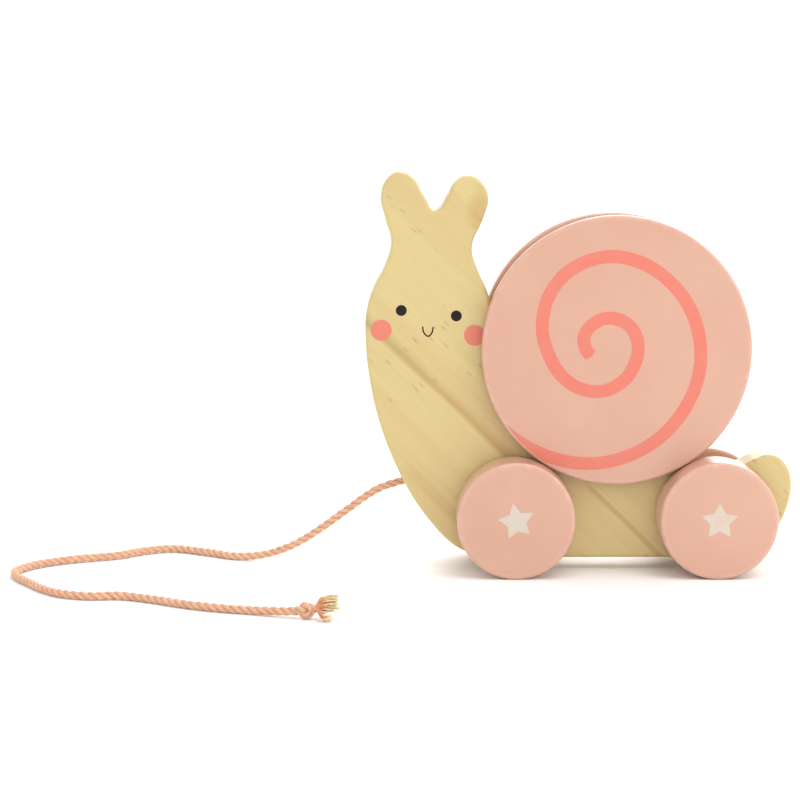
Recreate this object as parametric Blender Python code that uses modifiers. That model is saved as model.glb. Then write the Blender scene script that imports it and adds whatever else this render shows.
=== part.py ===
"""Wooden pull-along snail: a pine board on four wheels, a shell of two discs, and a pull cord.

Metres, +Z up. The snail faces -X, and its left side, where the face is printed, is towards -Y.
The origin is on the floor, under the middle of the toy without its cord.
"""

import math

import bmesh
import bpy
from mathutils import Matrix, Vector

MM = 0.001

# Fits between the pieces
TOUCH_GAP = 0.3 * MM  # between two pieces that touch or are glued
RUNNING_GAP = 0.5 * MM  # all round an axle that turns in the board

# Board
BOARD_THICKNESS = 18 * MM
BOARD_CLEARANCE = 5.3 * MM  # from the floor to the board's flat underside
BOARD_EDGE_RADIUS = 1.5 * MM
OUTLINE_STEPS = 4  # straight pieces between two points of the outline

# Wheels and their axles
WHEEL_RADIUS = 25 * MM
WHEEL_THICKNESS = 20 * MM
WHEEL_EDGE_RADIUS = 1.5 * MM
AXLE_SPACING = 85.6 * MM
AXLE_RADIUS = 4 * MM
WHEEL_BORE_DEPTH = 14 * MM

# Shell: two discs on one axle, resting between the front and the rear wheels
SHELL_RADIUS = 57.3 * MM
SHELL_THICKNESS = 6 * MM
SHELL_EDGE_RADIUS = 1.2 * MM
SHELL_BORE_DEPTH = 4 * MM
SHELL_X = 15 * MM

# Thin washers that keep the paint off the board
WASHER_THICKNESS = 0.6 * MM
WASHER_RADIUS = 7 * MM

# Pull cord
CORD_RADIUS = 1.75 * MM
CORD_HOLE_RADIUS = 2.1 * MM
CORD_HOLE_DEPTH = 11 * MM
CORD_GLUED = 9 * MM  # length of cord inside the hole
CORD_SPACING = 7.5 * MM
CORD_EXIT = Vector((-75.5 * MM, 0, 37.7 * MM))
CORD_HOLE_TILT = 19  # degrees down from straight ahead
KNOT_CENTRE = Vector((-113.2 * MM, -101 * MM, 3.5 * MM))
KNOT_RADII = Vector((3.3 * MM, 3.9 * MM, 3.4 * MM))
FRAY_TILT = 14  # degrees that the frayed end points upwards

# Places that follow from the above
SIDE_GAP = WASHER_THICKNESS + 2 * TOUCH_GAP
INNER_FACE = BOARD_THICKNESS / 2 + SIDE_GAP  # inner faces of the wheels and the discs
FRONT_AXLE_X = SHELL_X - AXLE_SPACING / 2
REAR_AXLE_X = SHELL_X + AXLE_SPACING / 2
SHELL_TO_AXLE = SHELL_RADIUS + WHEEL_RADIUS + TOUCH_GAP
SHELL_Z = WHEEL_RADIUS + math.sqrt(SHELL_TO_AXLE**2 - (AXLE_SPACING / 2) ** 2)

ROUND_STEPS = 48
DISC_STEPS = 72
BORE_STEPS = 24
EDGE_ARC_STEPS = 2
CUT_PAST = 3 * MM  # how far a cutter runs past the face that it opens
WELD_DISTANCE = 0.01 * MM
SMOOTH_ANGLE = math.radians(35)
BEVEL_ANGLE = math.radians(50)
FLAT_ANGLE = math.radians(0.3)

# The hump that carries the shell's axle, as (degrees, radius) about the axle
HUMP_RADIUS = 44 * MM
HUMP_ANGLES = (155, 125, 90, 55, 20, -15)

# The outline's hand-drawn points, in millimetres (x, z), clockwise from the front feeler
HEAD_AND_NECK = (
    (-84.9, 161.0), (-82.3, 167.9), (-76.6, 170.9), (-70.9, 168.0),
    (-66.8, 161.0), (-61.9, 154.9), (-56.6, 161.0), (-53.4, 166.6),
    (-47.8, 169.4), (-42.2, 166.6), (-39.6, 160.0), (-41.5, 151.8),
    (-46.4, 139.0), (-44.2, 130.1), (-39.6, 119.9), (-36.6, 109.5),
    (-30.9, 104.2),
)
TAIL = (
    (48.6, 60.0), (44.2, 52.5), (46.5, 47.0), (53.0, 44.6), (61.0, 44.2),
    (69.0, 45.3), (76.5, 48.8), (82.3, 50.3), (88.1, 47.0), (91.3, 39.5),
    (90.4, 29.0), (86.2, 19.0), (78.5, 10.5), (69.0, 6.3),
)
CHEST = (
    (-41.5, 5.9), (-48.8, 7.9), (-56.1, 12.6), (-64.2, 21.4), (-70.5, 30.1),
    (-79.6, 47.6), (-85.9, 64.9), (-89.8, 82.2), (-91.6, 99.4),
    (-91.2, 111.5), (-88.8, 120.1), (-82.9, 132.0), (-80.6, 141.5),
    (-83.2, 151.8),
)
UNDERSIDE_X = (60.0, -34.0)

# The cord's hand-chosen route over the floor after its hole, in millimetres (x, y, z)
CORD_ROUTE = (
    (-87.5, 0.3, 33.3), (-99.3, 0.8, 25.0), (-110.8, 1.8, 16.5),
    (-122.5, 4.0, 8.8), (-134.3, 7.4, 3.8), (-142.5, 9.3, 2.2),
    (-150.5, 11.8, 1.8), (-163.0, 20.2, 1.8), (-177.8, 27.6, 1.8),
    (-190.3, 22.8, 1.8), (-200.8, 13.0, 1.8), (-213.7, 7.0, 1.8),
    (-226.5, 0.0, 1.8), (-236.3, -10.0, 1.8), (-240.8, -21.5, 1.8),
    (-237.3, -33.0, 1.8), (-230.8, -43.5, 1.8), (-224.0, -54.0, 1.8),
    (-215.0, -63.4, 1.8), (-203.0, -68.0, 1.8), (-190.3, -67.5, 1.8),
    (-177.6, -73.0, 1.8), (-163.7, -82.0, 1.8), (-150.2, -88.6, 1.8),
    (-134.5, -93.6, 1.8), (-124.0, -97.4, 2.4), (-117.0, -100.1, 3.1),
)


def clear_scene():
    for obj in list(bpy.data.objects):
        bpy.data.objects.remove(obj, do_unlink=True)


def make_collection(name, hidden=False):
    collection = bpy.data.collections.new(name)
    bpy.context.scene.collection.children.link(collection)
    collection.hide_render = hidden
    return collection


def make_material(name, colour, roughness, metallic=0.0):
    material = bpy.data.materials.new(name)
    material.use_nodes = True
    shader = material.node_tree.nodes["Principled BSDF"]
    shader.inputs["Base Color"].default_value = (*colour, 1.0)
    shader.inputs["Roughness"].default_value = roughness
    shader.inputs["Metallic"].default_value = metallic
    return material


def add_part(name, data, material, parent=None):
    """A new object of the toy. Its place is measured from its parent's."""
    obj = bpy.data.objects.new(name, data)
    toy.objects.link(obj)
    data.materials.append(material)
    obj.parent = parent
    return obj


def add_empty(name, location):
    empty = bpy.data.objects.new(name, None)
    empty.location = location
    toy.objects.link(empty)
    return empty


def smooth(mesh):
    mesh.shade_smooth()
    mesh.set_sharp_from_angle(angle=SMOOTH_ANGLE)


def mesh_from_curve(guide):
    """The solid that a filled curve draws, with each flat cap welded on as one face. The curve is removed."""
    graph = bpy.context.evaluated_depsgraph_get()
    mesh = bpy.data.meshes.new_from_object(guide.evaluated_get(graph))
    shape = bmesh.new()
    shape.from_mesh(mesh)
    bmesh.ops.remove_doubles(shape, verts=shape.verts, dist=WELD_DISTANCE)
    bmesh.ops.dissolve_limit(shape, angle_limit=FLAT_ANGLE, verts=shape.verts, edges=shape.edges)
    shape.to_mesh(mesh)
    shape.free()
    mesh.transform(guide.matrix_world)
    curve = guide.data
    bpy.data.objects.remove(guide)
    bpy.data.curves.remove(curve)
    mesh.materials.clear()
    return mesh


def cylinder_mesh(name, radius, length, steps=BORE_STEPS):
    """A cylinder along Y, centred on the origin."""
    shape = bmesh.new()
    bmesh.ops.create_cone(
        shape, cap_ends=True, segments=steps, radius1=radius, radius2=radius, depth=length,
        matrix=Matrix.Rotation(math.radians(90), 4, "X"),
    )
    mesh = bpy.data.meshes.new(name)
    shape.to_mesh(mesh)
    shape.free()
    return mesh


def turned_mesh(name, profile, closed=False):
    """A mesh of the half profile (radius, height) alone, ready for its Screw modifier."""
    mesh = bpy.data.meshes.new(name)
    shape = bmesh.new()
    points = [shape.verts.new((radius, 0, height)) for radius, height in profile]
    for first, second in zip(points, points[1:]):
        shape.edges.new((first, second))
    if closed:
        shape.edges.new((points[-1], points[0]))
    shape.to_mesh(mesh)
    shape.free()
    return mesh


def add_turning(obj, steps):
    screw = obj.modifiers.new("turned", "SCREW")
    screw.steps = steps
    screw.render_steps = steps
    screw.use_merge_vertices = True
    screw.merge_threshold = WELD_DISTANCE
    screw.use_smooth_shade = False


def quarter_arc(centre_radius, centre_height, radius, start):
    """Points of a rounded corner, turning 90 degrees clockwise from the start angle."""
    points = []
    for step in range(EDGE_ARC_STEPS + 1):
        angle = math.radians(start - 90 * step / EDGE_ARC_STEPS)
        points.append((centre_radius + radius * math.cos(angle), centre_height + radius * math.sin(angle)))
    return points


def disc_profile(radius, thickness, edge_radius, bore_depth):
    """Half section of a disc: a smooth outer face on top and a blind bore for its axle below."""
    bore = AXLE_RADIUS + TOUCH_GAP
    return (
        [(0, thickness)]
        + quarter_arc(radius - edge_radius, thickness - edge_radius, edge_radius, 90)
        + quarter_arc(radius - edge_radius, edge_radius, edge_radius, 0)
        + [(bore, 0), (bore, bore_depth), (0, bore_depth)]
    )


def board_outline():
    points = [Vector((x * MM, z * MM, 0)) for x, z in HEAD_AND_NECK]
    for degrees in HUMP_ANGLES:
        angle = math.radians(degrees)
        reach = Vector((math.cos(angle), math.sin(angle), 0)) * HUMP_RADIUS
        points.append(Vector((SHELL_X, SHELL_Z, 0)) + reach)
    points += [Vector((x * MM, z * MM, 0)) for x, z in TAIL]
    points += [Vector((x * MM, BOARD_CLEARANCE, 0)) for x in UNDERSIDE_X]
    points += [Vector((x * MM, z * MM, 0)) for x, z in CHEST]
    return points


def board_mesh():
    """The board sawn to the snail's outline, standing up along X."""
    curve = bpy.data.curves.new("board_outline", "CURVE")
    curve.dimensions = "2D"
    curve.fill_mode = "BOTH"
    curve.extrude = BOARD_THICKNESS / 2
    curve.resolution_u = OUTLINE_STEPS
    outline = board_outline()
    spline = curve.splines.new("BEZIER")
    spline.bezier_points.add(len(outline) - 1)
    spline.use_cyclic_u = True
    for point, place in zip(spline.bezier_points, outline):
        point.co = place
    for point in spline.bezier_points:
        point.handle_left_type = "AUTO"
        point.handle_right_type = "AUTO"
    flat = len(HEAD_AND_NECK) + len(HUMP_ANGLES) + len(TAIL)
    spline.bezier_points[flat].handle_right_type = "VECTOR"
    spline.bezier_points[flat + 1].handle_left_type = "VECTOR"
    guide = bpy.data.objects.new("board_outline", curve)
    guide.rotation_euler.x = math.radians(90)
    toy.objects.link(guide)
    bpy.context.view_layer.update()
    return mesh_from_curve(guide)


def add_cutter(name, mesh, location):
    cutter = bpy.data.objects.new(name, mesh)
    cutter.location = location
    cutter.hide_render = True
    cutter.display_type = "WIRE"
    cutters.objects.link(cutter)
    return cutter


def cut(obj, cutter):
    boolean = obj.modifiers.new(cutter.name, "BOOLEAN")
    boolean.operation = "DIFFERENCE"
    boolean.solver = "EXACT"
    boolean.object = cutter


def make_board():
    """The pine board, with a bore for each axle and a blind hole for the cord in its chest."""
    board = add_part("body_board", board_mesh(), pine)
    rounding = board.modifiers.new("rounded_edges", "BEVEL")
    rounding.width = BOARD_EDGE_RADIUS
    rounding.segments = EDGE_ARC_STEPS
    rounding.limit_method = "ANGLE"
    rounding.angle_limit = BEVEL_ANGLE
    bore_length = BOARD_THICKNESS + 2 * CUT_PAST
    bore = cylinder_mesh("axle_bore", AXLE_RADIUS + RUNNING_GAP, bore_length)
    axles = (("front", FRONT_AXLE_X, WHEEL_RADIUS), ("rear", REAR_AXLE_X, WHEEL_RADIUS),
             ("shell", SHELL_X, SHELL_Z))
    for name, x, z in axles:
        cut(board, add_cutter(name + "_axle_bore", bore, (x, 0, z)))
    hole = cylinder_mesh("cord_hole", CORD_HOLE_RADIUS, CORD_HOLE_DEPTH + CUT_PAST)
    middle = CORD_EXIT - cord_direction() * (CORD_HOLE_DEPTH - CUT_PAST) / 2
    cutter = add_cutter("cord_hole", hole, middle)
    cutter.rotation_euler = cord_direction().to_track_quat("Y", "Z").to_euler()
    cut(board, cutter)


def make_wheels():
    """Two painted wheels glued on each axle, with a washer between each wheel and the board."""
    profile = disc_profile(WHEEL_RADIUS, WHEEL_THICKNESS, WHEEL_EDGE_RADIUS, WHEEL_BORE_DEPTH)
    axle_length = 2 * (INNER_FACE + WHEEL_BORE_DEPTH - TOUCH_GAP)
    for end, x in (("front", FRONT_AXLE_X), ("rear", REAR_AXLE_X)):
        pivot = add_empty(end + "_axle_pivot", (x, 0, WHEEL_RADIUS))
        add_part(end + "_axle", cylinder_mesh(end + "_axle", AXLE_RADIUS, axle_length), beech, pivot)
        for side, out in (("left", -1), ("right", 1)):
            mesh = turned_mesh(f"wheel_{end}_{side}", profile)
            wheel = add_part(mesh.name, mesh, peach_paint, pivot)
            wheel.location.y = out * INNER_FACE
            wheel.rotation_euler.x = -out * math.radians(90)
            add_turning(wheel, ROUND_STEPS)
            add_washer(f"washer_{end}_{side}", pivot, out)


def add_washer(name, pivot, out):
    """A flat ring round the axle, in the middle of the gap beside the board."""
    hole = AXLE_RADIUS + RUNNING_GAP
    half = WASHER_THICKNESS / 2
    section = ((hole, half), (WASHER_RADIUS, half), (WASHER_RADIUS, -half), (hole, -half))
    washer = add_part(name, turned_mesh(name, section, closed=True), nylon, pivot)
    washer.location.y = out * (BOARD_THICKNESS + SIDE_GAP) / 2
    washer.rotation_euler.x = -out * math.radians(90)
    add_turning(washer, BORE_STEPS)


def make_shell():
    """Two painted discs glued on one axle, whose rims rest against the inner part of the wheels."""
    pivot = add_empty("shell_pivot", (SHELL_X, 0, SHELL_Z))
    axle_length = 2 * (INNER_FACE + SHELL_BORE_DEPTH - TOUCH_GAP)
    add_part("shell_axle", cylinder_mesh("shell_axle", AXLE_RADIUS, axle_length), beech, pivot)
    profile = disc_profile(SHELL_RADIUS, SHELL_THICKNESS, SHELL_EDGE_RADIUS, SHELL_BORE_DEPTH)
    for side, out in (("left", -1), ("right", 1)):
        disc = add_part("shell_disc_" + side, turned_mesh("shell_disc_" + side, profile), peach_paint, pivot)
        disc.location.y = out * INNER_FACE
        disc.rotation_euler.x = -out * math.radians(90)
        add_turning(disc, DISC_STEPS)
        add_washer("washer_shell_" + side, pivot, out)


def cord_direction():
    """The way the cord leaves its hole, ahead of the snail and a little down."""
    tilt = math.radians(CORD_HOLE_TILT)
    return Vector((-math.cos(tilt), 0, -math.sin(tilt)))


def cord_route():
    glued_end = CORD_EXIT - cord_direction() * CORD_GLUED
    return [glued_end, CORD_EXIT] + [Vector(point) * MM for point in CORD_ROUTE]


def smooth_points(route, spacing):
    """Evenly spaced points on a smooth curve through the route's points."""
    ends = [2 * route[0] - route[1]] + list(route) + [2 * route[-1] - route[-2]]
    fine = []
    fine_steps = 20
    for before, start, end, after in zip(ends, ends[1:], ends[2:], ends[3:]):
        for step in range(fine_steps):
            t = step / fine_steps
            fine.append(0.5 * (
                2 * start + (end - before) * t
                + (2 * before - 5 * start + 4 * end - after) * t**2
                + (3 * start - before - 3 * end + after) * t**3
            ))
    fine.append(route[-1])
    length = sum((b - a).length for a, b in zip(fine, fine[1:]))
    count = round(length / spacing)
    points = [fine[0]]
    walked = 0
    for a, b in zip(fine, fine[1:]):
        step = (b - a).length
        while len(points) < count and walked + step >= len(points) * length / count:
            along = (len(points) * length / count - walked) / step
            points.append(a.lerp(b, along))
        walked += step
    points.append(fine[-1])
    return points


def make_cord():
    """A plain tube along the cord's route, from inside its hole to the knot."""
    curve = bpy.data.curves.new("cord", "CURVE")
    curve.dimensions = "3D"
    curve.bevel_depth = CORD_RADIUS
    curve.bevel_resolution = 2
    curve.use_fill_caps = True
    points = smooth_points(cord_route(), CORD_SPACING)
    spline = curve.splines.new("POLY")
    spline.points.add(len(points) - 1)
    for point, place in zip(spline.points, points):
        point.co = (*place, 1)
    add_part("cord", curve, cotton)


def make_knot():
    """The overhand knot's outer shape."""
    mesh = bpy.data.meshes.new("end_knot")
    shape = bmesh.new()
    bmesh.ops.create_uvsphere(
        shape, u_segments=20, v_segments=12, radius=1, matrix=Matrix.Diagonal((*KNOT_RADII, 1))
    )
    shape.to_mesh(mesh)
    shape.free()
    smooth(mesh)
    knot = add_part("end_knot", mesh, cotton)
    knot.location = KNOT_CENTRE


def make_frayed_end():
    """The brush of loose strands past the knot, as a plain flared solid."""
    flare = ((0, 10.2), (4.2, 10.0), (5.4, 8.6), (4.6, 6.0), (1.7, 2.2), (1.4, 0), (0, 0))
    profile = [(radius * MM, height * MM) for radius, height in flare]
    frayed = add_part("frayed_end", turned_mesh("frayed_end", profile), cotton)
    frayed.rotation_euler.y = math.radians(90 - FRAY_TILT)
    frayed.location = KNOT_CENTRE + Vector((KNOT_RADII.x + 2 * TOUCH_GAP, 0, 0))
    add_turning(frayed, 20)


clear_scene()
toy = make_collection("pull_along_snail")
cutters = make_collection("cutters", hidden=True)

pine = make_material("pine", (0.78, 0.63, 0.30), 0.5)
peach_paint = make_material("peach_paint", (0.86, 0.46, 0.35), 0.35)
beech = make_material("beech", (0.62, 0.42, 0.24), 0.55)
nylon = make_material("nylon", (0.80, 0.79, 0.74), 0.45)
cotton = make_material("cotton_cord", (0.87, 0.42, 0.26), 0.9)

make_board()
make_wheels()
make_shell()
make_cord()
make_knot()
make_frayed_end()
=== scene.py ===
import math
import random

import bmesh
import bpy
from mathutils import Matrix, Vector


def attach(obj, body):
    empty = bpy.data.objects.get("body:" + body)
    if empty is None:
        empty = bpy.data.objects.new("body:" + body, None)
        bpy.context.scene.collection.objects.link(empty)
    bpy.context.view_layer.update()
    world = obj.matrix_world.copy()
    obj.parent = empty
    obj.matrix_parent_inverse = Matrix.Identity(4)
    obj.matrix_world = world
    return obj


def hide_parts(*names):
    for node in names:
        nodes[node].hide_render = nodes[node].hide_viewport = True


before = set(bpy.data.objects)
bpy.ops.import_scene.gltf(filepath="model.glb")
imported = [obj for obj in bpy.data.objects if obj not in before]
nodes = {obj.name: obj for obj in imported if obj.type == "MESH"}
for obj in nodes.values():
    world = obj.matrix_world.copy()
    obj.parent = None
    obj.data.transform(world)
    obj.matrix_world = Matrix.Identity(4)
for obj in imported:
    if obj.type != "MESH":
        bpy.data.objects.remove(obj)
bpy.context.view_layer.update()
mm = 0.001
print("frame loaded:", len(nodes), "parts")


cameraSetup = {
    "place": (-0.07684, -0.9302, 0.19747),
    "tiltDown": 7.639,  # degrees
    "lens": 97.85,
}
lightSetup = {
    "sky": 1.12,
    "skyColour": (1.0, 1.0, 1.0),
    "lamps": (  # name, place, aimed at, size, watts
        ("lampAbove", (0.25, -0.35, 1.05), (0.0, 0.0, 0.06), 0.9, 3.3),
        ("lampRight", (1.0, -0.7, 0.6), (0.0, 0.0, 0.08), 0.8, 2.4),
        ("lampBehind", (0.35, 1.0, 0.75), (0.0, 0.0, 0.08), 1.1, 11.0),
    ),
}
floorSetup = {"size": 8.0, "colour": (0.93, 0.93, 0.925), "roughness": 0.75}


def makeCamera():
    bpy.ops.object.camera_add(
        location=cameraSetup["place"],
        rotation=(math.radians(90 - cameraSetup["tiltDown"]), 0, 0),
    )
    camera = bpy.context.object
    camera.data.lens = cameraSetup["lens"]
    camera.data.sensor_width = 36
    camera.data.clip_start = 0.01
    bpy.context.scene.camera = camera


def makeLights():
    world = bpy.data.worlds.new("softStudio")
    world.use_nodes = True
    background = world.node_tree.nodes["Background"]
    background.inputs["Color"].default_value = (*lightSetup["skyColour"], 1)
    background.inputs["Strength"].default_value = lightSetup["sky"]
    bpy.context.scene.world = world
    for name, place, aim, size, watts in lightSetup["lamps"]:
        bpy.ops.object.light_add(type="AREA", location=place)
        lamp = bpy.context.object
        lamp.name = name
        lamp.data.shape = "DISK"
        lamp.data.size = size
        lamp.data.energy = watts
        lamp.rotation_euler = (Vector(aim) - Vector(place)).to_track_quat("-Z", "Y").to_euler()
    bpy.context.scene.view_settings.view_transform = "Standard"


class Wire:
    # a socket in a material, so that shader maths reads as plain sums
    def __init__(self, finish, socket):
        self.finish = finish
        self.socket = socket

    def __add__(self, other):
        return self.finish.maths("ADD", self, other)

    def __radd__(self, other):
        return self.finish.maths("ADD", other, self)

    def __sub__(self, other):
        return self.finish.maths("SUBTRACT", self, other)

    def __rsub__(self, other):
        return self.finish.maths("SUBTRACT", other, self)

    def __mul__(self, other):
        return self.finish.maths("MULTIPLY", self, other)

    def __rmul__(self, other):
        return self.finish.maths("MULTIPLY", other, self)

    def __pow__(self, other):
        return self.finish.maths("POWER", self, other)


class Finish:
    # one material and the few moves that build it
    def __init__(self, name):
        self.material = bpy.data.materials.new(name)
        self.material.use_nodes = True
        self.tree = self.material.node_tree
        self.shader = self.tree.nodes["Principled BSDF"]

    def feed(self, socket, value):
        if isinstance(value, Wire):
            self.tree.links.new(value.socket, socket)
        elif isinstance(value, tuple) and socket.type == "RGBA":
            socket.default_value = (*value[:3], 1)
        else:
            socket.default_value = value

    def node(self, kind, settings, sockets, output=0):
        made = self.tree.nodes.new(kind)
        for name, value in settings.items():
            setattr(made, name, value)
        for name, value in sockets.items():
            self.feed(made.inputs[name], value)
        return Wire(self, made.outputs[output])

    def maths(self, operation, first, second=0.0):
        return self.node("ShaderNodeMath", {"operation": operation}, {0: first, 1: second})

    def objectPlace(self):
        return self.node("ShaderNodeTexCoord", {}, {}, "Object")

    def axes(self, vector):
        split = self.tree.nodes.new("ShaderNodeSeparateXYZ")
        self.feed(split.inputs[0], vector)
        return [Wire(self, out) for out in split.outputs]

    def vector(self, x, y, z):
        return self.node("ShaderNodeCombineXYZ", {}, {0: x, 1: y, 2: z})

    def turned(self, vector, place, degrees, scale=(1, 1, 1)):
        turn = tuple(math.radians(angle) for angle in degrees)
        return self.node(
            "ShaderNodeMapping", {},
            {"Vector": vector, "Location": place, "Rotation": turn, "Scale": scale},
        )

    def noise(self, vector, scale, detail=2.0, roughness=0.5):
        sockets = {"Vector": vector, "Scale": scale, "Detail": detail, "Roughness": roughness}
        return self.node("ShaderNodeTexNoise", {}, sockets)

    def smoothStep(self, value, low, high, fromValue=0.0, toValue=1.0):
        return self.node(
            "ShaderNodeMapRange", {"interpolation_type": "SMOOTHSTEP"},
            {"Value": value, "From Min": low, "From Max": high, "To Min": fromValue, "To Max": toValue},
        )

    def mixColour(self, share, first, second):
        return self.node("ShaderNodeMix", {"data_type": "RGBA"}, {0: share, 6: first, 7: second}, 2)

    def bump(self, height, distance, strength=1.0, below=None):
        sockets = {"Height": height, "Distance": distance, "Strength": strength}
        if below:
            sockets["Normal"] = below
        return self.node("ShaderNodeBump", {}, sockets)

    def done(self, **sockets):
        for name, value in sockets.items():
            self.feed(self.shader.inputs[name.replace("_", " ")], value)
        return self.material


def shade(red, green, blue):
    # a colour given as 0 to 255, made linear
    def linear(value):
        value = value / 255
        return value / 12.92 if value <= 0.04045 else ((value + 0.055) / 1.055) ** 2.4
    return tuple(linear(value) for value in (red, green, blue))


pineLook = {
    "pale": shade(203, 184, 126),
    "straw": shade(199, 176, 118),
    "honey": shade(178, 138, 74),
    "greenish": shade(164, 142, 80),
    "tick": shade(160, 126, 74),
    "grainTilt": 44.0,  # degrees down towards the tail
    "bandAcross": 13.5 * mm,  # the dark band's place across the grain
    "bandCore": 2.2 * mm,
    "bandHalo": 6.0 * mm,  # the band fades out upwards over this
    "streaks": (  # across the grain, half width, weight, from and to along the grain
        (29.0 * mm, 1.9 * mm, 0.6, -0.03, 0.035),
        (6.4 * mm, 2.0 * mm, 0.35, -0.01, 0.08),
        (-19.5 * mm, 3.5 * mm, 0.35, -0.09, 0.0),
    ),
    "rough": 0.42,
    "lacquer": 0.35,
}
paintLook = {
    "peach": (0.600, 0.335, 0.240),
    "deep": (0.580, 0.312, 0.222),
    # a lighter peach painted on the rounded rims as a painted highlight
    "rimHighlight": (0.660, 0.400, 0.310),
    "rough": 0.34,
    "lacquer": 0.5,
}
coralLook = {"colour": shade(215, 115, 97), "patchy": shade(211, 122, 103), "rough": 0.42, "shine": 0.5}
creamLook = {"colour": shade(202, 191, 177), "patchy": shade(204, 184, 167), "rough": 0.5, "shine": 0.5}
inkLook = {"colour": shade(23, 21, 19), "patchy": shade(34, 30, 27), "rough": 0.55, "shine": 0.2}
cottonLook = {
    "light": shade(226, 180, 146),
    "middle": shade(218, 158, 126),
    # colour of the painted shade in the creases between the plies
    "creaseShade": shade(190, 116, 84),
    "tan": shade(232, 210, 162),
    "root": shade(222, 148, 102),
    "rough": 0.92,
}


def pineFinish():
    finish = Finish("pineFinish")
    look = pineLook
    # x runs along the grain, y through the board, z across the grain
    grain = finish.turned(finish.objectPlace(), (0, 0, 0), (0, -look["grainTilt"], 0))
    along, through, across = finish.axes(grain)
    sway = finish.noise(finish.vector(along * 9, through * 9, across * 14), 1, 2) - 0.5
    bent = across + sway * 0.007
    depth = through - 0.05
    ring = finish.maths("SQRT", (bent + 0.16) ** 2 + depth * depth)
    # broad pale and straw bands, then the narrow late wood lines inside them
    broad = finish.noise(finish.vector(along * 4, 0.0, ring * 95), 1, 3, 0.55)
    narrow = finish.noise(finish.vector(along * 7, 0.0, ring * 420), 1, 3, 0.6)
    fibre = finish.noise(finish.vector(along * 60, through * 1500, bent * 2600), 1, 3, 0.6)
    colour = finish.mixColour(finish.smoothStep(broad, 0.36, 0.72), look["pale"], look["straw"])
    lines = finish.smoothStep(narrow, 0.5, 0.85) * finish.smoothStep(broad, 0.42, 0.62, 0.15, 0.7)
    colour = finish.mixColour(lines * 0.32, colour, look["honey"])
    # the one dark band that crosses the chest: a soft line inside a wide halo that leans upwards
    edge = finish.noise(finish.vector(along * 30, through * 30, across * 260), 1, 3) - 0.5
    offset = bent - look["bandAcross"] + edge * 0.0014
    core = finish.smoothStep(finish.maths("ABSOLUTE", offset), look["bandCore"], 0.0)
    halo = finish.smoothStep(offset, look["bandHalo"], 0.0) * finish.smoothStep(offset, -0.0028, 0.0012)
    bandColour = finish.mixColour(finish.smoothStep(along, -0.125, -0.08), look["greenish"], look["honey"])
    bandFade = finish.smoothStep(along, -0.06, -0.035, 1.0, 0.12)
    colour = finish.mixColour(halo * bandFade * 0.55, colour, bandColour)
    colour = finish.mixColour(core * bandFade * 0.5, colour, bandColour)
    # softer streaks lower on the chest and towards the tail
    for middle, half, weight, low, high in look["streaks"]:
        away = finish.maths("ABSOLUTE", bent - middle)
        streak = finish.smoothStep(away + edge * half * 0.5, half, half * 0.2)
        here = finish.smoothStep(along, low, low + 0.012) * finish.smoothStep(along, high, high - 0.012)
        colour = finish.mixColour(streak * here * weight, colour, look["honey"])
    # short resin ticks, long along the grain and thin across it
    cells = finish.node(
        "ShaderNodeTexVoronoi", {"feature": "F1"},
        {"Vector": finish.vector(along * 95, through * 95, across * 300), "Scale": 1.0}, "Distance",
    )
    clumps = finish.noise(finish.vector(along * 22, through * 22, across * 34), 1, 1)
    sparse = finish.smoothStep(clumps, 0.45, 0.6)
    tick = finish.smoothStep(cells, 0.22, 0.08) * sparse
    colour = finish.mixColour(tick * 0.42, colour, look["tick"])
    colour = finish.mixColour(finish.smoothStep(fibre, 0.35, 0.75, 0.0, 0.16), colour, look["honey"])
    # an ochre patch on the rear feeler
    x, z = finish.axes(finish.objectPlace())[::2]
    patch = finish.maths("SQRT", (x + 0.0425) ** 2 + (z - 0.1545) ** 2 * 0.45)
    colour = finish.mixColour(finish.smoothStep(patch, 0.008, 0.002, 0.0, 0.5), colour, look["honey"])
    rough = look["rough"] + (fibre - 0.5) * 0.18 + lines * 0.05
    height = fibre * 0.5 + narrow * 0.3 - tick * 0.5
    normal = finish.bump(height, 0.00006, 0.5)
    finish.shader.inputs["Coat Weight"].default_value = look["lacquer"]
    finish.shader.inputs["Coat Roughness"].default_value = 0.16
    return finish.done(Base_Color=colour, Roughness=rough, Normal=normal)


def paintFinish():
    finish = Finish("peachPaintFinish")
    look = paintLook
    place = finish.objectPlace()
    rimHighlightMask = finish.node("ShaderNodeAttribute", {"attribute_name": "rimHighlightMask"}, {}, "Fac")
    cloud = finish.noise(place, 38, 3, 0.55)
    fine = finish.noise(place, 900, 3, 0.6)
    brush = finish.noise(place, 260, 2)
    colour = finish.mixColour(finish.smoothStep(cloud, 0.3, 0.7), look["peach"], look["deep"])
    # painted highlight: the rounded rims are mixed towards a lighter peach, speckled by the brush noise
    rimHighlight = rimHighlightMask * finish.smoothStep(brush, 0.35, 0.75, 0.15, 0.6)
    colour = finish.mixColour(rimHighlight, colour, look["rimHighlight"])
    rough = look["rough"] + (cloud - 0.5) * 0.12 + (fine - 0.5) * 0.08 - rimHighlightMask * 0.05
    peel = finish.bump(brush, 0.00006, 0.35)
    normal = finish.bump(fine, 0.00002, 0.35, peel)
    finish.shader.inputs["Coat Weight"].default_value = look["lacquer"]
    finish.shader.inputs["Coat Roughness"].default_value = 0.11
    return finish.done(Base_Color=colour, Roughness=rough, Normal=normal)


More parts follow.
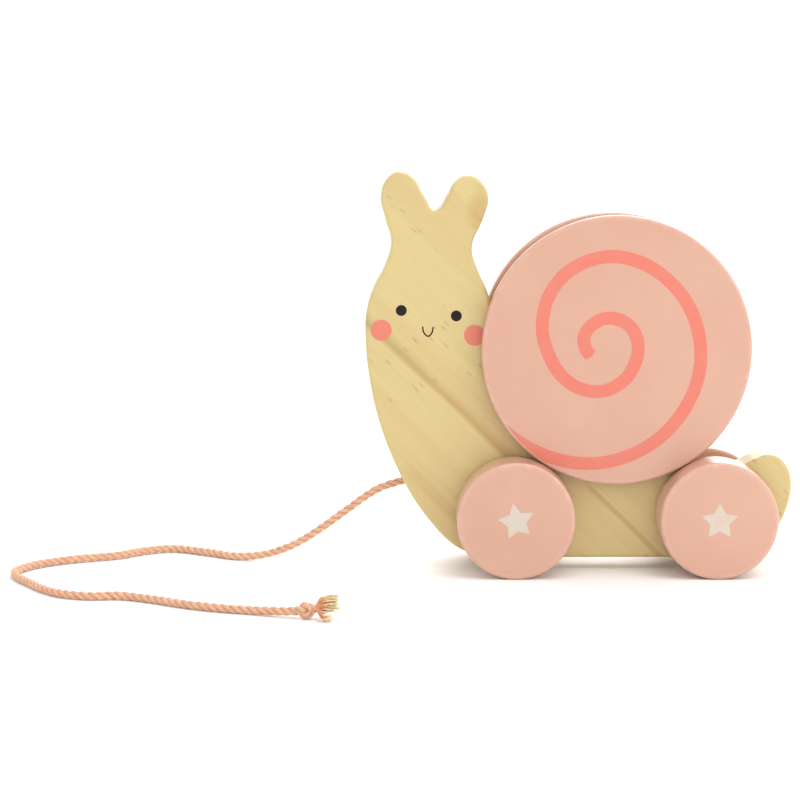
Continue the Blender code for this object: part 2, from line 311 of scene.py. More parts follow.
def inkFinish(name, look):
    # a printed layer, a little uneven where the ink is thin
    finish = Finish(name)
    place = finish.objectPlace()
    cloud = finish.noise(place, 130, 3, 0.6)
    fine = finish.noise(place, 1500, 2, 0.6)
    colour = finish.mixColour(finish.smoothStep(cloud, 0.35, 0.75), look["colour"], look["patchy"])
    rough = look["rough"] + (fine - 0.5) * 0.16
    normal = finish.bump(fine, 0.00002, 0.4)
    finish.shader.inputs["Specular IOR Level"].default_value = look["shine"]
    return finish.done(Base_Color=colour, Roughness=rough, Normal=normal)


def cottonFinish():
    # u goes round a ply from its outermost line, v along it in centimetres
    finish = Finish("cottonFinish")
    look = cottonLook
    u, v = finish.axes(finish.node("ShaderNodeUVMap", {"uv_map": "plyMap"}, {}))[:2]
    place = finish.objectPlace()
    inward = 0.5 - 0.5 * finish.maths("COSINE", u * (2 * math.pi))
    wave = finish.maths("SINE", (u * 6 + v * 5.2) * (2 * math.pi))
    hair = finish.noise(finish.vector(u * 34 + v * 30, v * 9, 0.0), 1, 3, 0.65)
    blotch = finish.noise(place, 240, 2)
    colour = finish.mixColour(finish.smoothStep(hair, 0.3, 0.72), look["middle"], look["light"])
    colour = finish.mixColour(finish.smoothStep(blotch, 0.4, 0.75, 0.0, 0.35), colour, look["tan"])
    # painted shade: darker on the inner side of each ply, in the creases between the plies, and in the
    # grooves between the yarns
    creaseShadeShare = finish.smoothStep(inward, 0.22, 0.7) * 0.6 + finish.smoothStep(wave, -0.4, -1.0) * 0.18
    colour = finish.mixColour(creaseShadeShare, colour, look["creaseShade"])
    rough = look["rough"] - (hair - 0.5) * 0.1
    yarns = finish.bump(wave, 0.00012, 0.6)
    normal = finish.bump(hair, 0.00010, 0.7, yarns)
    finish.shader.inputs["Sheen Weight"].default_value = 0.25
    finish.shader.inputs["Sheen Roughness"].default_value = 0.6
    return finish.done(Base_Color=colour, Roughness=rough, Normal=normal)


def frayFinish():
    # v is 0 at a strand's root and 1 at its tip
    finish = Finish("frayedCottonFinish")
    look = cottonLook
    u, v = finish.axes(finish.node("ShaderNodeUVMap", {"uv_map": "plyMap"}, {}))[:2]
    place = finish.objectPlace()
    fluff = finish.noise(place, 1900, 3, 0.65)
    tone = finish.noise(finish.vector(u * 9, 0.0, 0.0), 1, 1)
    towardsTip = finish.smoothStep(v + (tone - 0.5) * 0.5, 0.25, 0.75)
    colour = finish.mixColour(towardsTip, look["root"], look["tan"])
    colour = finish.mixColour(finish.smoothStep(fluff, 0.35, 0.8, 0.0, 0.5), colour, look["light"])
    rough = look["rough"] - (fluff - 0.5) * 0.1
    normal = finish.bump(fluff, 0.00008, 0.6)
    finish.shader.inputs["Sheen Weight"].default_value = 0.25
    return finish.done(Base_Color=colour, Roughness=rough, Normal=normal)


def beechFinish():
    finish = Finish("beechFinish")
    x, y, z = finish.axes(finish.objectPlace())
    streak = finish.noise(finish.vector(x * 900, y * 60, z * 900), 1, 3, 0.6)
    fleck = finish.noise(finish.vector(x * 2200, y * 320, z * 2200), 1, 2)
    colour = finish.mixColour(finish.smoothStep(streak, 0.3, 0.7), shade(214, 178, 134), shade(190, 148, 104))
    colour = finish.mixColour(finish.smoothStep(fleck, 0.6, 0.72, 0.0, 0.5), colour, shade(150, 108, 70))
    rough = 0.55 + (streak - 0.5) * 0.15
    return finish.done(Base_Color=colour, Roughness=rough, Normal=finish.bump(streak, 0.00005, 0.5))


def nylonFinish():
    finish = Finish("nylonFinish")
    place = finish.objectPlace()
    cloud = finish.noise(place, 350, 2)
    grit = finish.noise(place, 4000, 2)
    colour = finish.mixColour(finish.smoothStep(cloud, 0.3, 0.7), shade(226, 222, 210), shade(214, 208, 194))
    rough = 0.42 + (grit - 0.5) * 0.2
    return finish.done(Base_Color=colour, Roughness=rough, Normal=finish.bump(grit, 0.00002, 0.4))


def floorFinish():
    finish = Finish("floorFinish")
    place = finish.objectPlace()
    grit = finish.noise(place, 400, 2)
    rough = floorSetup["roughness"] + (grit - 0.5) * 0.1
    return finish.done(Base_Color=floorSetup["colour"], Roughness=rough)


def choose(*things):
    if bpy.context.mode != "OBJECT":
        bpy.ops.object.mode_set(mode="OBJECT")
    bpy.ops.object.select_all(action="DESELECT")
    for thing in things:
        thing.select_set(True)
    bpy.context.view_layer.objects.active = things[0]


def pick(kind, test):
    # in edit mode: only the faces or edges that pass the test are selected
    bpy.ops.mesh.select_mode(type=kind)
    bpy.ops.mesh.select_all(action="DESELECT")
    mesh = bpy.context.object.data
    shape = bmesh.from_edit_mesh(mesh)
    for item in (shape.edges if kind == "EDGE" else shape.faces):
        if test(item):
            item.select_set(True)
    bmesh.update_edit_mesh(mesh)


def isRim(edge):
    # between a flat face that looks along Y and a side face
    flat = [abs(face.normal.y) > 0.9 for face in edge.link_faces]
    return len(flat) == 2 and flat[0] != flat[1]


def applyModifier(piece, kind, **settings):
    modifier = piece.modifiers.new(kind.lower(), kind)
    for name, value in settings.items():
        setattr(modifier, name, value)
    choose(piece)
    bpy.ops.object.modifier_apply(modifier=modifier.name)


def smoothOver(piece, degrees=38):
    choose(piece)
    bpy.ops.object.shade_smooth_by_angle(angle=math.radians(degrees))
    applyModifier(piece, "WEIGHTED_NORMAL", keep_sharp=True, weight=60)


def settle(piece, name, body, material, stoodFor=()):
    piece.name = name
    piece.data.name = name
    piece.data.materials.clear()
    piece.data.materials.append(material)
    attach(piece, body)
    if stoodFor:
        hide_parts(*stoodFor)
    return piece


def copyOf(original, matrix):
    # a copy with a mesh of its own, and its place in that mesh
    twin = original.copy()
    twin.data = original.data.copy()
    bpy.context.scene.collection.objects.link(twin)
    twin.matrix_world = matrix
    choose(twin)
    bpy.ops.object.transform_apply(location=True, rotation=True, scale=True)
    return twin


def remove(*things):
    for thing in things:
        bpy.data.objects.remove(thing, do_unlink=True)


def smoothRoute(route, spacing):
    # evenly spaced points on a smooth curve through the route
    ends = [2 * route[0] - route[1]] + list(route) + [2 * route[-1] - route[-2]]
    fine = []
    for before, start, end, after in zip(ends, ends[1:], ends[2:], ends[3:]):
        for step in range(20):
            t = step / 20
            fine.append(0.5 * (
                2 * start + (end - before) * t
                + (2 * before - 5 * start + 4 * end - after) * t ** 2
                + (3 * start - before - 3 * end + after) * t ** 3
            ))
    fine.append(route[-1])
    length = sum((b - a).length for a, b in zip(fine, fine[1:]))
    count = max(2, round(length / spacing))
    points = [fine[0]]
    walked = 0
    for a, b in zip(fine, fine[1:]):
        step = (b - a).length
        while len(points) < count and walked + step >= len(points) * length / count:
            points.append(a.lerp(b, (len(points) * length / count - walked) / step))
        walked += step
    points.append(fine[-1])
    return points


def lengthOf(points):
    return sum((b - a).length for a, b in zip(points, points[1:]))


cordShape = {
    "diameter": 3.5 * mm,
    "exit": (-75.5, 0, 37.7),
    "holeTilt": 19,  # degrees down from straight ahead
    "glued": 9 * mm,
    "route": (
        (-87.5, 0.3, 33.3), (-99.3, 0.8, 25.0), (-110.8, 1.8, 16.5),
        (-122.5, 4.0, 8.8), (-134.3, 7.4, 3.8), (-142.5, 9.3, 2.2),
        (-150.5, 11.8, 1.8), (-163.0, 20.2, 1.8), (-177.8, 27.6, 1.8),
        (-190.3, 22.8, 1.8), (-200.8, 13.0, 1.8), (-213.7, 7.0, 1.8),
        (-226.5, 0.0, 1.8), (-236.3, -10.0, 1.8), (-240.8, -21.5, 1.8),
        (-237.3, -33.0, 1.8), (-230.8, -43.5, 1.8), (-224.0, -54.0, 1.8),
        (-215.0, -63.4, 1.8), (-203.0, -68.0, 1.8), (-190.3, -67.5, 1.8),
        (-177.6, -73.0, 1.8), (-163.7, -82.0, 1.8), (-150.2, -88.6, 1.8),
        (-134.5, -93.6, 1.8), (-124.0, -97.4, 2.4), (-117.0, -100.1, 3.1),
    ),
    "ringSpacing": 0.55 * mm,
    "plyOffset": 0.78 * mm,
    "plyRadius": 0.99 * mm,
    "pitch": 10.8 * mm,
    "lay": 1,  # 1 or -1, the way that the plies twist
    "sides": 14,
    "yarnRelief": 0.05,
}
knotShape = {
    "centre": (-113.2, -101.0, 3.7),
    "scale": (0.62, 0.85, 0.95),  # along, towards the back, up
    "strand": 0.96,  # share of the cord's thickness, pulled tight
    "stub": 2.6,
}
frayShape = {
    "strands": 92,
    "hairs": 90,
    "length": (5.3, 9.4),
    "lift": 8,  # degrees
    "rootRadius": 1.6 * mm,
    "halfHeight": 3.2 * mm,
    "rise": 1.5 * mm,
    "seed": 11,
}
fuzzShape = {"hairs": 420, "seed": 4, "length": (0.5, 1.5)}


def steadyFrames(points):
    # a normal and a binormal at each point that turn as little as they can
    frames = []
    normal = None
    for index in range(len(points)):
        ahead = points[min(index + 1, len(points) - 1)]
        behind = points[max(index - 1, 0)]
        tangent = (ahead - behind).normalized()
        if normal is None:
            normal = tangent.orthogonal()
        normal = (normal - tangent * normal.dot(tangent)).normalized()
        frames.append((normal.copy(), tangent.cross(normal)))
    return frames


class Strands:
    # gathers many thin tubes into one mesh, with a map of u round and v along
    def __init__(self):
        self.verts = []
        self.faces = []
        self.corners = []

    def add(self, rings, uOf, vOf):
        start = len(self.verts)
        sides = len(rings[0])
        for ring in rings:
            self.verts.extend(ring)
        for row in range(len(rings) - 1):
            for side in range(sides):
                after = (side + 1) % sides
                low = start + row * sides
                high = low + sides
                self.faces.append((low + side, low + after, high + after, high + side))
                uLow = uOf(side)
                uHigh = uOf(side + 1)
                self.corners.append((
                    (uLow, vOf(row)), (uHigh, vOf(row)), (uHigh, vOf(row + 1)), (uLow, vOf(row + 1)),
                ))
        last = start + (len(rings) - 1) * sides
        self.faces.append(tuple(start + side for side in reversed(range(sides))))
        self.corners.append(tuple((uOf(side), vOf(0)) for side in reversed(range(sides))))
        self.faces.append(tuple(last + side for side in range(sides)))
        self.corners.append(tuple((uOf(side), vOf(len(rings) - 1)) for side in range(sides)))

    def build(self, name):
        mesh = bpy.data.meshes.new(name)
        mesh.from_pydata(self.verts, [], self.faces)
        layer = mesh.uv_layers.new(name="plyMap")
        flat = [corner for face in self.corners for corner in face]
        for loop, corner in zip(layer.data, flat):
            loop.uv = corner
        mesh.shade_smooth()
        piece = bpy.data.objects.new(name, mesh)
        bpy.context.scene.collection.objects.link(piece)
        return piece


def addRope(strands, points, thickness=1.0):
    # three plies twisted round the route
    shape = cordShape
    walked = [0.0]
    for a, b in zip(points, points[1:]):
        walked.append(walked[-1] + (b - a).length)
    frames = steadyFrames(points)
    sides = shape["sides"]
    for ply in range(3):
        rings = []
        for point, (normal, binormal), along in zip(points, frames, walked):
            angle = 2 * math.pi * (shape["lay"] * along / (shape["pitch"] * thickness) + ply / 3)
            outward = normal * math.cos(angle) + binormal * math.sin(angle)
            sideways = binormal * math.cos(angle) - normal * math.sin(angle)
            centre = point + outward * shape["plyOffset"] * thickness
            ring = []
            for side in range(sides):
                turn = 2 * math.pi * side / sides
                relief = math.cos(3 * turn + 2 * math.pi * along / (3.1 * mm)) * shape["yarnRelief"]
                radius = shape["plyRadius"] * thickness * (1 + relief)
                ring.append(centre + (outward * math.cos(turn) + sideways * math.sin(turn)) * radius)
            rings.append(ring)
        strands.add(rings, lambda side: side / sides, lambda row: walked[row] * 100)


def addHair(strands, points, radii, sides, tone):
    frames = steadyFrames(points)
    rings = []
    for point, (normal, binormal), radius in zip(points, frames, radii):
        ring = []
        for side in range(sides):
            turn = 2 * math.pi * side / sides
            ring.append(point + (normal * math.cos(turn) + binormal * math.sin(turn)) * radius)
        rings.append(ring)
    last = len(rings) - 1
    strands.add(rings, lambda side: tone + 0.02 * side / sides, lambda row: row / last)


def cordLine():
    shape = cordShape
    tilt = math.radians(shape["holeTilt"])
    ahead = Vector((-math.cos(tilt), 0, -math.sin(tilt)))
    leave = Vector(shape["exit"]) * mm
    route = [leave - ahead * shape["glued"], leave] + [Vector(point) * mm for point in shape["route"]]
    return smoothRoute(route, shape["ringSpacing"])


def knotLine():
    # an overhand knot: a trefoil with one lobe opened and its two ends led out along the cord
    middle = Vector(knotShape["centre"])
    sizes = knotShape["scale"]
    points = []
    for step in range(33):
        t = math.radians(38 + (360 - 76) * step / 32)
        reach = 2 + math.cos(3 * t)
        lobe = reach * math.cos(2 * t) + 0.35
        points.append(middle + Vector((
            -reach * math.sin(2 * t) * sizes[0],
            -math.sin(3 * t) * sizes[1],
            lobe * sizes[2],
        )))
    before = middle + Vector((-4.6, 1.4, -0.7))
    after = middle + Vector((4.4, -0.3, 0.5))
    if (points[0] - before).length > (points[-1] - before).length:
        points.reverse()
    stub = after + Vector((knotShape["stub"] - 2.6, 0, 0.15))
    return smoothRoute([point * mm for point in [before] + points + [after, stub]], 0.4 * mm)


def makeCord():
    line = cordLine()
    rope = Strands()
    addRope(rope, line)
    return rope.build("pullCord"), line


def makeKnot():
    line = knotLine()
    rope = Strands()
    addRope(rope, line, knotShape["strand"])
    return rope.build("overhandKnot"), line


def makeFray(root):
    # loose yarns that bulge out at once past the knot, then run on together, and a few that fall forward
    shape = frayShape
    chance = random.Random(shape["seed"])
    lift = math.radians(shape["lift"])
    ahead = Vector((math.cos(lift), -0.12, math.sin(lift))).normalized()
    back = Vector((0, 1, 0))
    up = back.cross(ahead).normalized()
    up = up if up.z > 0 else -up
    loose = Strands()
    for index in range(shape["strands"] + shape["hairs"]):
        isHair = index >= shape["strands"]
        turn = chance.uniform(0, 2 * math.pi)
        place = math.sqrt(chance.random())
        spoke = up * math.sin(turn) + back * math.cos(turn) * 0.8
        start = root + spoke * place * shape["rootRadius"]
        bulge = spoke * place * (shape["halfHeight"] - shape["rootRadius"]) + up * shape["rise"]
        reach = chance.uniform(*shape["length"]) * mm
        falls = index % 7 == 0
        if falls:
            bulge = Vector((0, -chance.uniform(2.0, 5.5), -chance.uniform(1.5, 3.4))) * mm
            reach = reach * 0.75
        curl = Vector((chance.uniform(-1, 1), chance.uniform(-1, 1), chance.uniform(-1, 1)))
        wave = chance.uniform(0.15, 0.55) * mm
        phase = chance.uniform(0, 6.28)
        droop = chance.uniform(0.0, 0.9) * mm
        points = []
        count = 10
        for step in range(count + 1):
            t = step / count
            spread = math.sin(min(1.0, t / 0.55) * math.pi / 2)
            point = start + ahead * reach * t + bulge * spread + curl * wave * math.sin(3.2 * t + phase) * t
            point = point - Vector((0, 0, droop * t * t))
            point.z = max(point.z, 0.35 * mm)
            points.append(point)
        thick = (0.10 if isHair else 0.27) * mm
        radii = [thick * (1 - 0.45 * step / count) for step in range(count + 1)]
        addHair(loose, points, radii, 4 if isHair else 6, chance.random())
    return loose.build("frayedYarns")


def makeFuzz(line):
    # stray fibres that stand off the twine
    shape = fuzzShape
    chance = random.Random(shape["seed"])
    frames = steadyFrames(line)
    fuzz = Strands()
    for index in range(shape["hairs"]):
        spot = chance.randrange(24, len(line) - 4)
        normal, binormal = frames[spot]
        tangent = (line[spot + 1] - line[spot]).normalized()
        turn = chance.uniform(0, 2 * math.pi)
        out = normal * math.cos(turn) + binormal * math.sin(turn)
        side = tangent * chance.choice((-1, 1))
        size = chance.uniform(*shape["length"]) * mm
        start = line[spot] + out * 1.45 * mm
        points = []
        for step in range(4):
            t = step / 3
            point = start + out * size * math.sin(1.9 * t) * 0.75 + side * size * t * 1.2
            point.z = max(point.z, 0.12 * mm)
            points.append(point)
        radii = (0.035 * mm, 0.032 * mm, 0.026 * mm, 0.014 * mm)
        addHair(fuzz, points, radii, 3, chance.random())
    return fuzz.build("cordFuzz")


boardShape = {
    "thickness": 18 * mm,
    "clearance": 5.3 * mm,
    "edgeRadius": 1.5 * mm,
    "edgeSteps": 5,
    "outlineSteps": 12,
    "boreRadius": 4.5 * mm,
    "cordHoleRadius": 2.1 * mm,
    "cordHoleDepth": 11 * mm,
    "headAndNeck": (
        (-84.9, 161.0), (-82.3, 167.9), (-76.6, 170.9), (-70.9, 168.0),
        (-66.8, 161.0), (-61.9, 154.9), (-56.6, 161.0), (-53.4, 166.6),
        (-47.8, 169.4), (-42.2, 166.6), (-39.6, 160.0), (-41.5, 151.8),
        (-46.4, 139.0), (-44.2, 130.1), (-39.6, 119.9), (-36.6, 109.5),
        (-30.9, 104.2),
    ),
    "humpRadius": 44,
    "humpAngles": (155, 125, 90, 55, 20, -15),
    "tail": (
        (48.6, 60.0), (44.2, 52.5), (46.5, 47.0), (53.0, 44.6), (61.0, 44.2),
        (69.0, 45.3), (76.5, 48.8), (82.3, 50.3), (88.1, 47.0), (91.3, 39.5),
        (90.4, 29.0), (86.2, 19.0), (78.5, 10.5), (69.0, 6.3),
    ),
    "undersideX": (60.0, -34.0),
    "chest": (
        (-41.5, 5.9), (-48.8, 7.9), (-56.1, 12.6), (-64.2, 21.4), (-70.5, 30.1),
        (-79.6, 47.6), (-85.9, 64.9), (-89.8, 82.2), (-91.6, 99.4),
        (-91.2, 111.5), (-88.8, 120.1), (-82.9, 132.0), (-80.6, 141.5),
        (-83.2, 151.8),
    ),
}
wheelShape = {
    "radius": 25 * mm,
    "thickness": 20 * mm,
    "edgeRadius": 1.5 * mm,
    "bore": 14 * mm,
    "facets": 144,
}
discShape = {
    "radius": 57.3 * mm,
    "thickness": 6 * mm,
    "edgeRadius": 1.2 * mm,
    "bore": 4 * mm,
    "facets": 216,
}
boreRadius = 4.3 * mm
rimInset = 0.9 * mm  # a narrow ring of faces beside each rounded rim
rimSteps = 7
drillFacets = 64
cutPast = 3 * mm  # how far a drill runs past the face that it opens
innerFace = 10.2 * mm  # inner faces of the wheels and the discs
shellPlace = Vector((15.0, 0, 95.646)) * mm
wheelPlaces = {"Front": Vector((-27.8, 0, 25.0)) * mm, "Rear": Vector((57.8, 0, 25.0)) * mm}


def boardOutline():
    shape = boardShape
    points = [Vector((x, z, 0)) * mm for x, z in shape["headAndNeck"]]
    for degrees in shape["humpAngles"]:
        angle = math.radians(degrees)
        reach = Vector((math.cos(angle), math.sin(angle), 0)) * shape["humpRadius"] * mm
        points.append(Vector((shellPlace.x, shellPlace.z, 0)) + reach)
    points += [Vector((x, z, 0)) * mm for x, z in shape["tail"]]
    flat = len(points)
    points += [Vector((x * mm, shape["clearance"], 0)) for x in shape["undersideX"]]
    points += [Vector((x, z, 0)) * mm for x, z in shape["chest"]]
    return points, flat


def drill(piece, place, direction, radius, depth):
    bpy.ops.object.select_all(action="DESELECT")
    bpy.ops.mesh.primitive_cylinder_add(
        vertices=drillFacets, radius=radius, depth=depth, location=place,
        rotation=Vector(direction).to_track_quat("Z", "Y").to_euler(),
    )
    drillBit = bpy.context.object
    applyModifier(piece, "BOOLEAN", operation="DIFFERENCE", solver="EXACT", object=drillBit)
    remove(drillBit)


def makeBoard():
    shape = boardShape
    bpy.ops.object.select_all(action="DESELECT")
    bpy.ops.curve.primitive_bezier_circle_add(radius=0.05)
    board = bpy.context.object
    curve = board.data
    curve.dimensions = "2D"
    curve.fill_mode = "BOTH"
    curve.extrude = shape["thickness"] / 2
    curve.resolution_u = shape["outlineSteps"]
    curve.splines.clear()
    outline, flat = boardOutline()
    spline = curve.splines.new("BEZIER")
    spline.bezier_points.add(len(outline) - 1)
    spline.use_cyclic_u = True
    for point, place in zip(spline.bezier_points, outline):
        point.co = place
    for point in spline.bezier_points:
        point.handle_left_type = "AUTO"
        point.handle_right_type = "AUTO"
    spline.bezier_points[flat].handle_right_type = "VECTOR"
    spline.bezier_points[flat + 1].handle_left_type = "VECTOR"
    board.rotation_euler.x = math.radians(90)
    bpy.ops.object.convert(target="MESH")
    bpy.ops.object.transform_apply(location=True, rotation=True, scale=True)
    bpy.ops.object.mode_set(mode="EDIT")
    bpy.ops.mesh.select_all(action="SELECT")
    bpy.ops.mesh.remove_doubles(threshold=0.01 * mm)
    pick("FACE", lambda face: abs(face.normal.y) > 0.99)
    bpy.ops.mesh.dissolve_faces()
    pick("EDGE", isRim)
    bpy.ops.mesh.bevel(offset=shape["edgeRadius"], segments=shape["edgeSteps"], affect="EDGES")
    bpy.ops.mesh.select_all(action="SELECT")
    bpy.ops.mesh.normals_make_consistent(inside=False)
    bpy.ops.object.mode_set(mode="OBJECT")
    for place in (*wheelPlaces.values(), shellPlace):
        drill(board, place, (0, 1, 0), shape["boreRadius"], shape["thickness"] + 2 * cutPast)
    tilt = math.radians(cordShape["holeTilt"])
    ahead = Vector((-math.cos(tilt), 0, -math.sin(tilt)))
    middle = Vector(cordShape["exit"]) * mm - ahead * (shape["cordHoleDepth"] - cutPast) / 2
    drill(board, middle, ahead, shape["cordHoleRadius"], shape["cordHoleDepth"] + cutPast)
    smoothOver(board)
    return board


def makeRound(shape):
    # a turned disc on the Y axis at the origin, its outer face towards -Y
    middle = -(innerFace + shape["thickness"] / 2)
    bpy.ops.object.select_all(action="DESELECT")
    bpy.ops.mesh.primitive_cylinder_add(
        vertices=shape["facets"], radius=shape["radius"], depth=shape["thickness"],
        location=(0, middle, 0), rotation=(math.radians(90), 0, 0),
    )
    piece = bpy.context.object
    bpy.ops.object.transform_apply(location=True, rotation=True, scale=True)
    bpy.ops.object.mode_set(mode="EDIT")
    pick("EDGE", isRim)
    bpy.ops.mesh.bevel(offset=shape["edgeRadius"], segments=rimSteps, affect="EDGES")
    pick("FACE", lambda face: face.normal.y < -0.999)
    bpy.ops.mesh.inset(thickness=rimInset)
    pick("FACE", lambda face: face.normal.y > 0.999)
    bpy.ops.mesh.inset(thickness=rimInset)
    bpy.ops.mesh.inset(thickness=shape["radius"] - shape["edgeRadius"] - rimInset - boreRadius)
    bpy.ops.mesh.extrude_region_move(TRANSFORM_OT_translate={"value": (0, -shape["bore"], 0)})
    bpy.ops.object.mode_set(mode="OBJECT")
    # marks the rounded rims, where the painted highlight goes
    rimHighlightMask = piece.data.attributes.new("rimHighlightMask", "FLOAT", "POINT")
    flatRadius = shape["radius"] - shape["edgeRadius"] - 0.5 * mm
    for vertex, value in zip(piece.data.vertices, rimHighlightMask.data):
        away = math.hypot(vertex.co.x, vertex.co.z)
        side = abs(abs(vertex.co.y - middle) - shape["thickness"] / 2)
        value.value = 1.0 if away > flatRadius and side < shape["edgeRadius"] else 0.0
    smoothOver(piece)
    return piece


printShape = {
    "layer": 0.05 * mm,
    "sunk": 0.02 * mm,
    "starPoints": 5,
    "starRadius": 7.9,
    "starInner": 4.15,
    "starTurns": {"FrontLeft": 11, "RearLeft": 0, "FrontRight": -24, "RearRight": 37},
    "eyes": ((-76.3, 112.3), (-52.9, 110.0)),
    "eyeRadius": 2.33,
    "cheeks": ((-84.85, 103.9), (-45.1, 101.7)),
    "cheekRadius": 4.5,
    "mouth": ((-67.2, 105.2), (-66.7, 102.9), (-64.95, 101.3), (-63.3, 102.7), (-62.7, 105.1)),
    "mouthWidth": 0.62,
    "spiralCentre": (-5.0, -1.0),  # from the shell's axle
    "spiralWidth": 5.5,
    # degrees and radius about the spiral's centre, from the inner end outwards
    "spiral": (
        (186, 6.2), (168, 8.4), (147, 10.9), (127, 12.7), (108, 13.9), (90, 15.0),
        (67, 15.5), (45, 15.4), (22, 14.6), (0, 13.7), (-22, 13.2), (-45, 13.6),
        (-67, 14.4), (-90, 15.8), (-112, 17.2), (-135, 19.0), (-157, 21.1),
        (-180, 24.1), (-202, 28.9), (-225, 34.2), (-247, 38.5), (-270, 41.0),
        (-292, 41.2), (-315, 40.5), (-337, 40.3), (-360, 40.4), (-382, 40.9),
        (-405, 42.0), (-427, 43.9), (-450, 46.6), (-472, 49.2), (-495, 52.6),
        (-517, 57.0), (-535, 61.0),
    ),
}


def ringOutline(centre, radius, count=56):
    points = []
    for step in range(count):
        angle = 2 * math.pi * step / count
        points.append(Vector((centre[0] + radius * math.cos(angle), centre[1] + radius * math.sin(angle))))
    return points


def strokeOutline(points, width, reach=None):
    # a band of even width along the points, stopped at reach from the origin
    left = []
    right = []
    for index, point in enumerate(points):
        ahead = points[min(index + 1, len(points) - 1)] - points[max(index - 1, 0)]
        across = Vector((-ahead.y, ahead.x)).normalized() * width / 2
        left.append(point + across)
        right.append(point - across)
    if reach is None:
        caps = []
        for middle, start in ((points[-1], left[-1]), (points[0], right[0])):
            spoke = start - middle
            caps.append([middle + Matrix.Rotation(-math.radians(turn), 2) @ spoke for turn in (45, 90, 135)])
        return left + caps[0] + right[::-1] + caps[1]
    left = [point for point in left if point.length < reach]
    right = [point for point in right if point.length < reach]
    first = math.atan2(left[-1].y, left[-1].x)
    last = math.atan2(right[-1].y, right[-1].x)
    arc = []
    for step in range(9):
        angle = first + (last - first) * step / 8
        arc.append(Vector((math.cos(angle), math.sin(angle))) * reach)
    blunt = points[0] + (points[0] - points[1]).normalized() * 0.8
    return left + arc + right[::-1] + [blunt]


def starOutline():
    shape = printShape
    points = []
    for step in range(2 * shape["starPoints"]):
        angle = math.pi / 2 + math.pi * step / shape["starPoints"]
        radius = shape["starInner"] if step % 2 else shape["starRadius"]
        spoke = Vector((math.cos(angle), math.sin(angle))) * radius
        if step % 2:
            points.append(spoke)
        else:
            blunt = Vector((-math.sin(angle), math.cos(angle))) * 0.22
            points += [spoke * 0.955 - blunt, spoke * 0.985, spoke * 0.955 + blunt]
    return points


def spiralOutline():
    shape = printShape
    middle = Vector((*shape["spiralCentre"], 0))
    knots = []
    for degrees, radius in shape["spiral"]:
        angle = math.radians(degrees)
        knots.append(middle + Vector((math.cos(angle), math.sin(angle), 0)) * radius)
    line = [point.to_2d() for point in smoothRoute(knots, 0.9)]
    reach = (discShape["radius"] - discShape["edgeRadius"]) / mm
    return strokeOutline(line, shape["spiralWidth"], reach)


def printLayer(outline, faceY):
    # a thin coat of ink in the outline's shape, on a face that looks towards -Y
    shape = printShape
    bpy.ops.object.select_all(action="DESELECT")
    bpy.ops.curve.primitive_bezier_circle_add(radius=0.01)
    layer = bpy.context.object
    curve = layer.data
    curve.dimensions = "2D"
    curve.fill_mode = "BOTH"
    curve.extrude = shape["layer"] / 2
    curve.splines.clear()
    spline = curve.splines.new("POLY")
    spline.points.add(len(outline) - 1)
    spline.use_cyclic_u = True
    for point, place in zip(spline.points, outline):
        point.co = (place.x * mm, place.y * mm, 0, 1)
    layer.rotation_euler.x = math.radians(90)
    layer.location.y = faceY + shape["sunk"] - shape["layer"] / 2
    bpy.ops.object.convert(target="MESH")
    bpy.ops.object.transform_apply(location=True, rotation=True, scale=True)
    bpy.ops.object.mode_set(mode="EDIT")
    bpy.ops.mesh.select_all(action="SELECT")
    bpy.ops.mesh.remove_doubles(threshold=0.002 * mm)
    bpy.ops.mesh.normals_make_consistent(inside=False)
    bpy.ops.object.mode_set(mode="OBJECT")
    return layer


makeCamera()
makeLights()
print("camera and lights set")

cotton = cottonFinish()
frayed = frayFinish()
cord, cordPath = makeCord()
knot, knotPath = makeKnot()
fray = makeFray(knotPath[-1] - Vector((0.4 * mm, 0, 0)))
fuzz = makeFuzz(cordPath)
settle(cord, "pullCord", "board", cotton, ("cord",))
settle(knot, "overhandKnot", "board", cotton, ("end_knot",))
settle(fray, "frayedYarns", "board", frayed, ("frayed_end",))
settle(fuzz, "cordFuzz", "board", cotton)
round(lengthOf(cordPath), 4)
print("cord laid:", round(lengthOf(cordPath), 4), "m")

board = settle(makeBoard(), "board", "board", pineFinish(), ("body_board",))
print("board sawn")

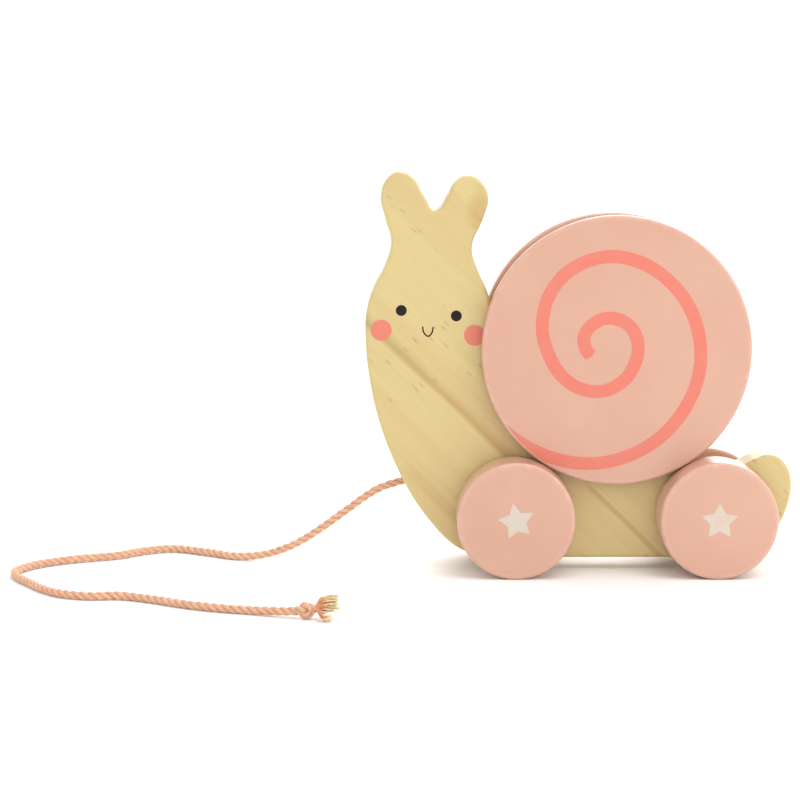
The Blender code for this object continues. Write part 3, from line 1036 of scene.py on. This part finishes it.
peach = paintFinish()
wheelPattern = makeRound(wheelShape)
starPattern = printLayer(starOutline(), -innerFace - wheelShape["thickness"])
cream = inkFinish("creamInk", creamLook)
for end, place in wheelPlaces.items():
    for side, turn in (("Left", 0), ("Right", 180)):
        tilt = -printShape["starTurns"][end + side]
        matrix = (
            Matrix.Translation(place)
            @ Matrix.Rotation(math.radians(turn), 4, "Z")
            @ Matrix.Rotation(math.radians(tilt), 4, "Y")
        )
        body = end.lower() + "_wheels"
        stoodFor = "wheel_" + end.lower() + "_" + side.lower()
        settle(copyOf(wheelPattern, matrix), "wheel" + end + side, body, peach, (stoodFor,))
        settle(copyOf(starPattern, matrix), "star" + end + side, body, cream)
remove(wheelPattern, starPattern)
print("wheels turned")

discPattern = makeRound(discShape)
spiralPattern = printLayer(spiralOutline(), -innerFace - discShape["thickness"])
coral = inkFinish("coralInk", coralLook)
for side, turn in (("Left", 0), ("Right", 180)):
    matrix = Matrix.Translation(shellPlace) @ Matrix.Rotation(math.radians(turn), 4, "Z")
    disc = copyOf(discPattern, matrix)
    settle(disc, "shellDisc" + side, "shell", peach, ("shell_disc_" + side.lower(),))
    settle(copyOf(spiralPattern, matrix), "spiral" + side, "shell", coral)
remove(discPattern, spiralPattern)
print("shell discs turned")

ink = inkFinish("darkInk", inkLook)
faceY = -boardShape["thickness"] / 2
mouthKnots = [Vector((x, z, 0)) for x, z in printShape["mouth"]]
mouthLine = [point.to_2d() for point in smoothRoute(mouthKnots, 0.35)]
facePrints = [("mouth", strokeOutline(mouthLine, printShape["mouthWidth"]), ink)]
for where, eye, cheek in zip(("Front", "Back"), printShape["eyes"], printShape["cheeks"]):
    facePrints.append(("eye" + where, ringOutline(eye, printShape["eyeRadius"]), ink))
    facePrints.append(("cheek" + where, ringOutline(cheek, printShape["cheekRadius"]), coral))
for name, outline, material in facePrints:
    near = printLayer(outline, faceY)
    across = boardShape["thickness"] + printShape["layer"] - 2 * printShape["sunk"]
    far = copyOf(near, Matrix.Translation((0, across, 0)))
    settle(near, name + "Left", "board", material)
    settle(far, name + "Right", "board", material)
print("face printed")

beech = beechFinish()
nylon = nylonFinish()
for name, node in nodes.items():
    if name.endswith("axle"):
        node.data.materials.clear()
        node.data.materials.append(beech)
    elif name.startswith("washer"):
        node.data.materials.clear()
        node.data.materials.append(nylon)

bpy.ops.object.select_all(action="DESELECT")
bpy.ops.mesh.primitive_plane_add(size=floorSetup["size"])
floor = bpy.context.object
floor.name = "floor"
floor.data.materials.append(floorFinish())
print("floor laid")
